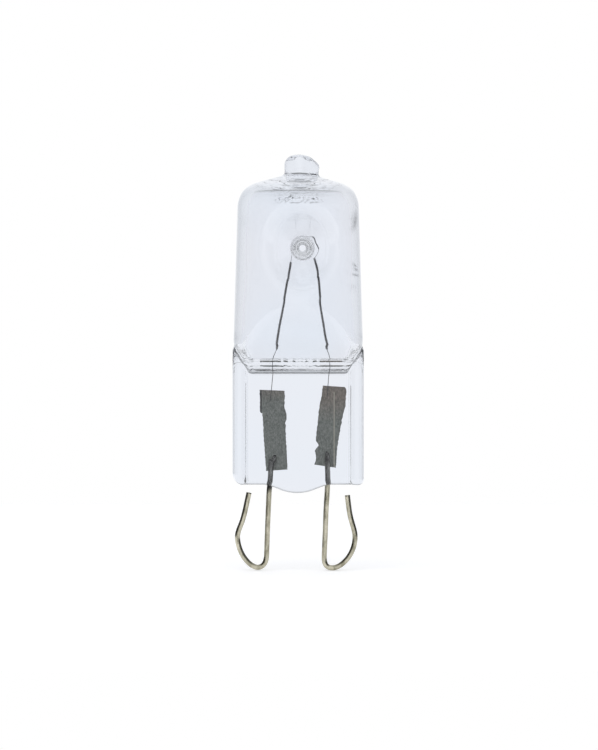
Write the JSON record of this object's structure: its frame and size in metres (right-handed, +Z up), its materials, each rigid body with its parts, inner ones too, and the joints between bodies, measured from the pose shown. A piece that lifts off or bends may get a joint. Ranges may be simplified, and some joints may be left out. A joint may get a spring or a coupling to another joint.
{
  "type": "oven light bulb",
  "caption": "Clear quartz capsule bulb for an oven lamp, with a flat pinched foot, spring wire loop pins, a coiled filament hung over a central stud and a sealed exhaust tip.",
  "frame": {"origin": "middle of the pinch's foot, between the places where the pins leave the glass", "axes": "+Z up the capsule's axis towards the exhaust tip, +X across the flat pinch from the left pin to the right pin, -Y towards the viewer in the picture. The bulb is a thing made to be fixed, so it keeps its own upright frame and is held by its base."},
  "size_m": [0.0134, 0.0132, 0.0427],
  "materials": {
    "quartz": "gloss",
    "tungsten": "satin",
    "foil": "satin",
    "pin_wire": "satin"
  },
  "bodies": {
    "root": {"quartz_envelope": "quartz", "tungsten_filament": "tungsten", "left_foil": "foil", "right_foil": "foil", "left_pin": "pin_wire", "right_pin": "pin_wire"}
  },
  "joints": []
}
